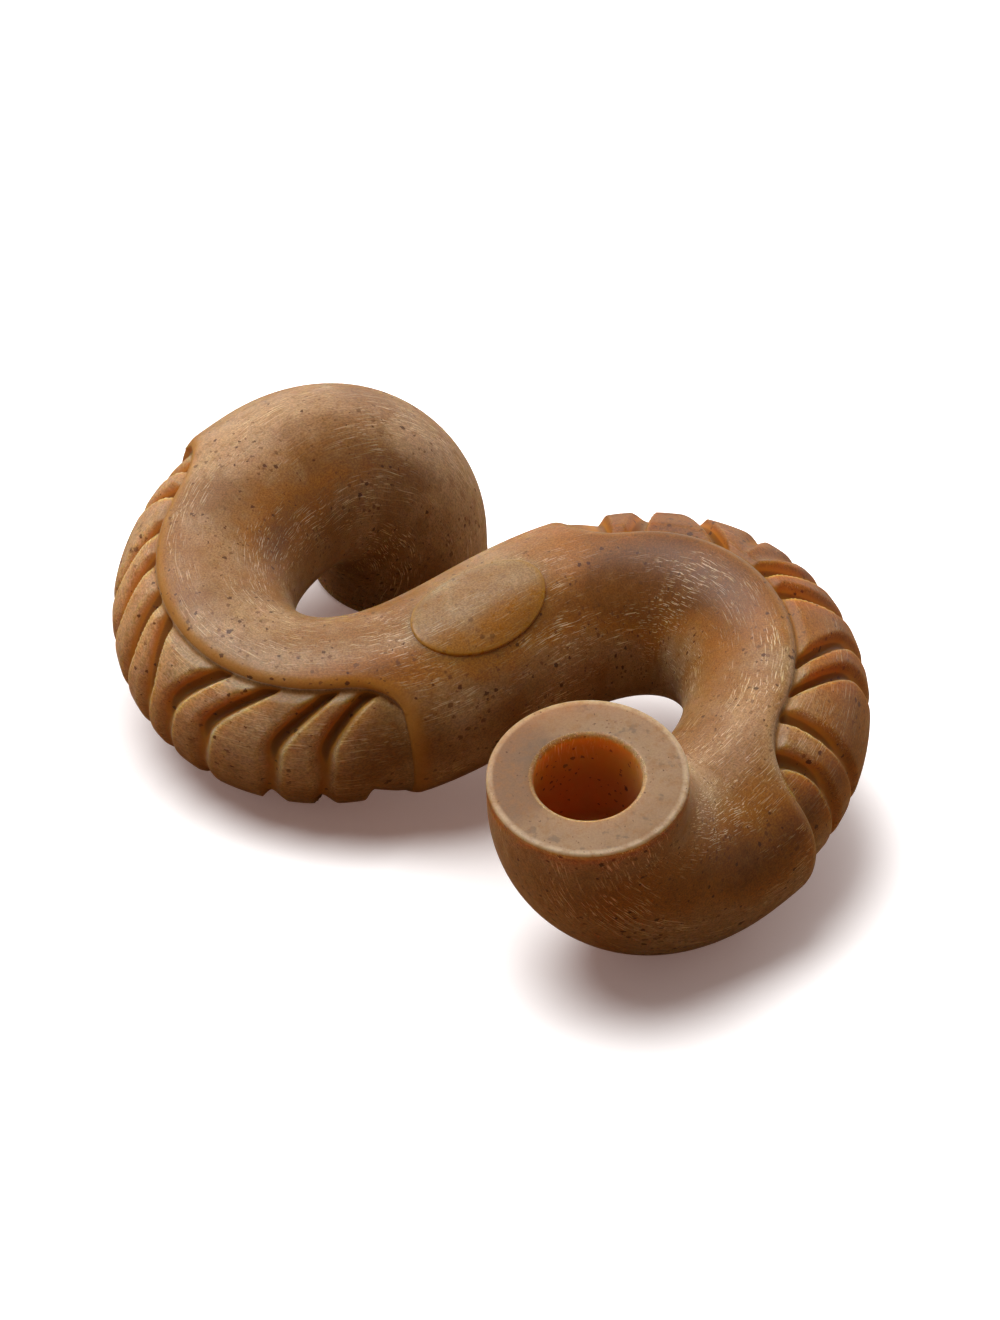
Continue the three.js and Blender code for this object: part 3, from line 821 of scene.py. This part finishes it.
class ChewBuildPad(Operator):
    """Build the plain oval pad on the bar"""

    bl_idname = "chew.build_pad"
    bl_label = "Build pad"

    def execute(self, context):
        settings = context.scene.chew
        look, pad, tube_radius = settings.nylon, settings.pad, settings.bar.tube_radius
        skin = Skin(Bar(settings))
        half_length, half_width = pad.length / 2, pad.width / 2
        edge = pad.edge / half_width
        profile = [(1.0, -pad.root), (1.0, pad.height - pad.edge)]
        for t in ROUND_TURNS:
            up = pad.height - pad.edge * (1 - math.sin(t))
            profile.append((1 - edge * (1 - math.cos(t)), up))
        profile += [(part * (1 - edge), pad.height) for part in np.linspace(1, 0, PAD_RINGS)[1:-1]]
        turns = np.linspace(0, 2 * math.pi, PAD_SIDES, endpoint=False)
        rings = []
        for out, up in profile:
            s = pad.station + out * np.cos(turns) * half_length
            a = pad.turn + out * np.sin(turns) * half_width / tube_radius
            # Painted glow round the pad's edge
            glow = PAD_GLOW * math.exp(-((1 - out) * half_width / PAD_GLOW_REACH) ** 2)
            patch = patches_at(s, a) + PAD_PALER
            rings.append(skin.lay(s, a, tube_radius + up, glow, 0.0, patch))
        skin.sheet(ring_closed(np.stack(rings)))
        s, a = np.array([pad.station]), np.array([pad.turn])
        for ring, up in ((rings[-1], pad.height), (rings[0], -pad.root)):
            patch = patches_at(s, a) + PAD_PALER
            skin.fan(ring, skin.lay(s, a, tube_radius + up, patch=patch)[0])
        piece = skin.build("oval_pad")
        finish = nylon("polished nylon", look, look.polish, clear=look.pad_clear)
        piece.data.materials.append(finish)
        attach(piece, BODY)
        return {"FINISHED"}


class Graph:
    """The node tree of a material or a world, with short ways to add nodes."""

    def __init__(self, owner):
        owner.use_nodes = True
        self.tree = owner.node_tree
        self.tree.nodes.clear()

    def node(self, kind, options=None, **inputs):
        """A new node; the inputs are given by name, with _ for a space."""
        made = self.tree.nodes.new(kind)
        for key, value in (options or {}).items():
            setattr(made, key, value)
        for key, value in inputs.items():
            self.put(made.inputs[key.replace("_", " ")], value)
        return made

    def put(self, socket, value):
        """Links a socket to another node, or sets it to a colour or a number."""
        if isinstance(value, bpy.types.NodeSocket):
            self.tree.links.new(value, socket)
        elif isinstance(value, Color):
            socket.default_value = (*value, 1.0)
        else:
            socket.default_value = value

    def data(self, name, output):
        return self.node("ShaderNodeAttribute", {"attribute_name": name}).outputs[output]

    def fed(self, kind, options, *values):
        """The result of a new node whose inputs are given in order."""
        made = self.node(kind, options)
        for socket, value in zip(made.inputs, values):
            self.put(socket, value)
        return made.outputs[0]

    def math(self, what, a, b=0.0, clamp=False):
        return self.fed("ShaderNodeMath", {"operation": what, "use_clamp": clamp}, a, b)

    def step(self, value, low, high, to_low=0.0, to_high=1.0):
        """A smooth step between two values."""
        made = self.node(
            "ShaderNodeMapRange", {"interpolation_type": "SMOOTHSTEP"}, Value=value,
            From_Min=low, From_Max=high, To_Min=to_low, To_Max=to_high)
        return made.outputs[0]

    def blend(self, part, a, b, how="MIX"):
        """Two colours mixed; the node's colour sockets come after those for numbers."""
        made = self.node("ShaderNodeMix", {"data_type": "RGBA", "blend_type": how})
        for place, value in ((0, part), (6, a), (7, b)):
            self.put(made.inputs[place], value)
        return made.outputs[2]

    def coat(self, base, look, guides, rows):
        """Lays coats of colour over a base, each as its row in COATS says."""
        for title, guide, low, high, most, *limits in rows:
            part = self.step(guides[guide], low, high, 0.0, most)
            for limit in limits:
                part = self.math("MULTIPLY", part, guides[limit])
            base = self.blend(part, base, getattr(look, title))
        return base

    def stretch(self, vector, scale):
        return self.fed("ShaderNodeVectorMath", {"operation": "MULTIPLY"}, vector, scale)

    def noise(self, vector, scale, detail=2.0, roughness=0.5):
        made = self.node(
            "ShaderNodeTexNoise", Vector=vector, Scale=scale, Detail=detail, Roughness=roughness)
        return made.outputs[0]

    def warp(self, vector, scale, amount):
        """Bends the grain a little, so that nothing in it runs quite straight."""
        sway = self.node("ShaderNodeTexNoise", Vector=vector, Scale=scale, Detail=1.0)
        return self.fed("ShaderNodeVectorMath", {"operation": "MULTIPLY_ADD"},
                        sway.outputs["Color"], (amount,) * 3, vector)

    def specks(self, vector, scale, size, kept):
        """Specks of varied size in crowds: only a share of the cells holds one."""
        cell = self.node("ShaderNodeTexVoronoi", Vector=vector, Scale=scale)
        chance = self.node("ShaderNodeSeparateColor", Color=cell.outputs["Color"])
        luck = self.math("SUBTRACT", chance.outputs[0], 1 - kept, True)
        limit = self.math(
            "MULTIPLY", self.math("POWER", luck, SPECK_POWER), size / kept ** SPECK_POWER)
        crowd = self.step(self.noise(vector, SPECK_CROWD_SCALE), *SPECK_CROWDS)
        near = self.math("SUBTRACT", self.math("MULTIPLY", limit, crowd), cell.outputs["Distance"])
        return self.step(near, 0.0, size * SPECK_SOFT)

    def fibres(self, grain):
        """Fine short lines along the bar, in bunches."""
        lines = self.stretch(self.warp(grain, *FIBRE_SWAY), FIBRE_SCALE)
        lines = self.step(self.noise(lines, 1.0), *FIBRE_EDGE)
        bunches = self.noise(self.stretch(grain, BUNCH_SCALE), *BUNCH_NOISE)
        return self.math("MULTIPLY", lines, self.step(bunches, *BUNCH_EDGE))


def nylon(name, look, roughness, clear=0.0, fibres=1.0):
    """Cloudy translucent nylon with dark flecks and fine pale fibres along the bar, with painted
    light and shade: patches, glow in the grooves, lips and cups, shade deep in the grooves and
    highlights on the end faces' rims.
    """
    material = bpy.data.materials.new(name)
    g = Graph(material)
    grain, glow, tint = g.data("grain", "Vector"), g.data("glow", "Fac"), g.data("tint", "Fac")
    face = g.math("MAXIMUM", tint, 0.0)
    seam = g.math("MAXIMUM", g.math("MULTIPLY", tint, -1.0), 0.0)
    guides = {title: g.noise(grain, *kind) for title, kind in NOISES.items()}
    clouds, mottle = guides["clouds"], guides["mottle"]
    # The patches: painted light and shade mixed with the nylon's tone, swung a little by the clouds
    patch = g.math("ADD", g.data("patch", "Fac"), g.step(clouds, *CLOUD_SWING))
    guides.update(glow=glow, face=face, patch=patch, on_face=g.step(face, 0.0, 1.0))

    base = g.blend(g.step(clouds, *CLOUD_EDGE), look.brown, look.tan)
    base = g.coat(base, look, guides, COATS)
    grit = g.blend(
        g.step(face, 0.0, 1.0, 0.0, GRIT_OFF_FACE), g.step(guides["grit"], *GRIT_SWING), WHITE)
    base = g.blend(1.0, base, grit, "MULTIPLY")
    # Painted glow in the grooves and lips, and painted shade deep in the grooves
    base = g.coat(base, look, guides, GROOVE_COATS)
    # Painted glow inside the cups, darker deeper in as painted shade
    inside = g.blend(g.step(glow, *CUP_DEEPENS), look.cup, look.cup_floor)
    base = g.blend(g.step(glow, *CUP_START), base, inside)

    marked = 1 - clear
    fade = g.math("ADD", g.math("MULTIPLY", g.math("ABSOLUTE", glow), FIBRE_FADE), face)
    strands = g.math("MULTIPLY", g.fibres(grain), g.math("SUBTRACT", 1.0, fade, True))
    base = g.blend(g.math("MULTIPLY", strands, look.fibres * fibres * marked), base, look.fibre)
    ragged = g.warp(grain, *SPECK_SWAY)
    for title, scale, size, kept, strength in SPECKS:
        part = g.math("MULTIPLY", g.specks(ragged, scale, size, kept), strength * marked)
        base = g.blend(part, base, getattr(look, title))

    rough = g.step(strands, 0.0, 1.0, roughness, roughness + FIBRE_ROUGHER)
    rough = g.math("ADD", rough, g.step(mottle, *MOTTLE_ROUGHNESS))
    height = g.math("ADD", strands, g.math("MULTIPLY", mottle, BUMP_MOTTLE))
    bump = g.node(
        "ShaderNodeBump", Strength=BUMP_STRENGTH * marked, Distance=BUMP_DISTANCE, Height=height)
    deep = g.math(
        "MULTIPLY", g.step(seam, 0.0, 1.0, look.translucence * marked, SEAM_TRANSLUCENCE),
        g.step(face, 0.0, 1.0, 1.0, FACE_TRANSLUCENCE))
    shade = g.node(
        "ShaderNodeBsdfPrincipled", Base_Color=base, Roughness=rough, Normal=bump.outputs[0],
        IOR=NYLON_IOR, Specular_IOR_Level=look.gloss,
        Subsurface_Weight=deep, Subsurface_Radius=LIGHT_SPREAD, Subsurface_Scale=look.light_depth,
        Sheen_Weight=look.sheen, Sheen_Roughness=SHEEN_ROUGHNESS, Sheen_Tint=look.sheen_tint)
    g.node("ShaderNodeOutputMaterial", Surface=shade.outputs[0])
    return material


def seen_directly(g):
    """1 for what the camera sees and 0 for light on the object."""
    return g.node("ShaderNodeLightPath").outputs["Is Camera Ray"]


def floor_finish(look):
    """A pale floor that keeps shadows and is white where no shadow falls."""
    material = bpy.data.materials.new("studio floor")
    g = Graph(material)
    seen = seen_directly(g)
    mottle = g.noise(g.node("ShaderNodeTexCoord").outputs["Object"], *FLOOR_NOISE)
    pale = g.blend(g.step(mottle, *FLOOR_MOTTLE), look.floor, look.bounce)
    matt = g.node("ShaderNodeBsdfDiffuse", Color=g.blend(seen, look.bounce, pale))
    nook = g.node(
        "ShaderNodeAmbientOcclusion", {"samples": OPEN_FLOOR_SAMPLES}, Distance=look.lift_reach)
    lifted = Color([part + look.lift for part in look.shadow])
    glow = g.blend(g.step(nook.outputs["AO"], *OPEN_FLOOR), look.shadow, lifted)
    lift = g.node("ShaderNodeEmission", Color=glow, Strength=seen)
    both = g.fed("ShaderNodeAddShader", None, matt.outputs[0], lift.outputs[0])
    g.node("ShaderNodeOutputMaterial", Surface=both)
    return material


class ChewBuildStage(Operator):
    """Build the floor, the light and the camera"""

    bl_idname = "chew.build_stage"
    bl_label = "Build stage"

    def execute(self, context):
        look, scene = context.scene.chew.stage, context.scene
        scene.view_settings.view_transform = "Standard"
        self.make_floor(look, scene)
        self.make_light(look, scene)
        self.make_camera(look, scene)
        return {"FINISHED"}

    def make_floor(self, look, scene):
        work = bmesh.new()
        bmesh.ops.create_grid(
            work, x_segments=FLOOR_CELLS, y_segments=FLOOR_CELLS, size=FLOOR_REACH)
        mesh = bpy.data.meshes.new("floor")
        work.to_mesh(mesh)
        work.free()
        mesh.materials.append(floor_finish(look))
        floor = bpy.data.objects.new("floor", mesh)
        floor.location.z = CAD_LOW.z - FLOOR_DROP
        scene.collection.objects.link(floor)

    def make_light(self, look, scene):
        """A studio that is brightest behind the chew, a lamp above and a weak fill lamp."""
        scene.world = bpy.data.worlds.new("studio")
        g = Graph(scene.world)
        around = g.node("ShaderNodeTexCoord").outputs["Generated"]
        way = g.node("ShaderNodeSeparateXYZ", Vector=around)
        back = g.step(way.outputs["Y"], *BACKDROP_RISE, look.sky, look.backdrop)
        aside = g.step(g.math("ABSOLUTE", way.outputs["X"]), *SIDE_RISE, 0.0, look.side)
        level = g.node(
            "ShaderNodeMapRange", Value=seen_directly(g), To_Min=g.math("ADD", back, aside),
            To_Max=1.0)
        sky = g.node("ShaderNodeBackground", Color=WHITE, Strength=level.outputs[0])
        g.node("ShaderNodeOutputWorld", Surface=sky.outputs[0])
        lamps = (("studio lamp", look.lamp, look.lamp_from),
                 ("fill lamp", look.fill, look.fill_from))
        for name, strength, toward in lamps:
            lamp = bpy.data.lights.new(name, "SUN")
            lamp.energy, lamp.angle = strength, look.lamp_spread
            holder = bpy.data.objects.new(name, lamp)
            holder.location = CENTRE + Vector(toward)
            holder.rotation_euler = (-Vector(toward)).to_track_quat("-Z", "Y").to_euler()
            scene.collection.objects.link(holder)

    def make_camera(self, look, scene):
        data = bpy.data.cameras.new("camera")
        data.lens, data.sensor_width = look.lens, SENSOR_WIDTH
        data.shift_x, data.shift_y = look.shift
        data.clip_start, data.clip_end = CLIP_RANGE
        camera = bpy.data.objects.new("camera", data)
        rise, reach = math.sin(look.elevation), math.cos(look.elevation)
        level, top, ahead = Vector((1, 0, 0)), Vector((0, rise, reach)), Vector((0, reach, -rise))
        right = level * math.cos(look.roll) + top * math.sin(look.roll)
        up = top * math.cos(look.roll) - level * math.sin(look.roll)
        turn = Matrix((right, up, -ahead)).transposed().to_4x4()
        camera.matrix_world = Matrix.Translation(CENTRE - ahead * look.distance) @ turn
        scene.collection.objects.link(camera)
        scene.camera = camera


class ChewPanel(Panel):
    """Sizes, looks and building steps of the chew"""

    bl_idname = "CHEW_PT_sizes"
    bl_label = "Dog Chew"
    bl_space_type = "VIEW_3D"
    bl_region_type = "UI"
    bl_category = "Chew"

    def draw(self, context):
        settings = context.scene.chew
        for title in settings.__annotations__:
            group = getattr(settings, title)
            box = self.layout.box()
            box.label(text=title.capitalize())
            for key in group.__annotations__:
                box.prop(group, key)
        for step in BUILD_STEPS:
            self.layout.operator(step.bl_idname)


BUILD_STEPS = (ChewBuildStage, ChewBuildBody, ChewBuildTreads, ChewBuildPad)
CLASSES = (
    ChewBarSizes, ChewCupSizes, ChewTreadSizes, ChewPadSizes, ChewNylonLook, ChewStageLook,
    ChewSettings, *BUILD_STEPS, ChewPanel)


def register():
    for item in CLASSES:
        bpy.utils.register_class(item)
    bpy.types.Scene.chew = PointerProperty(type=ChewSettings)


def unregister():
    del bpy.types.Scene.chew
    for item in reversed(CLASSES):
        bpy.utils.unregister_class(item)


def main():
    register()
    bpy.ops.chew.build_stage()
    bpy.ops.chew.build_body()
    bpy.ops.chew.build_treads()
    bpy.ops.chew.build_pad()


if __name__ == "__main__":
    main()
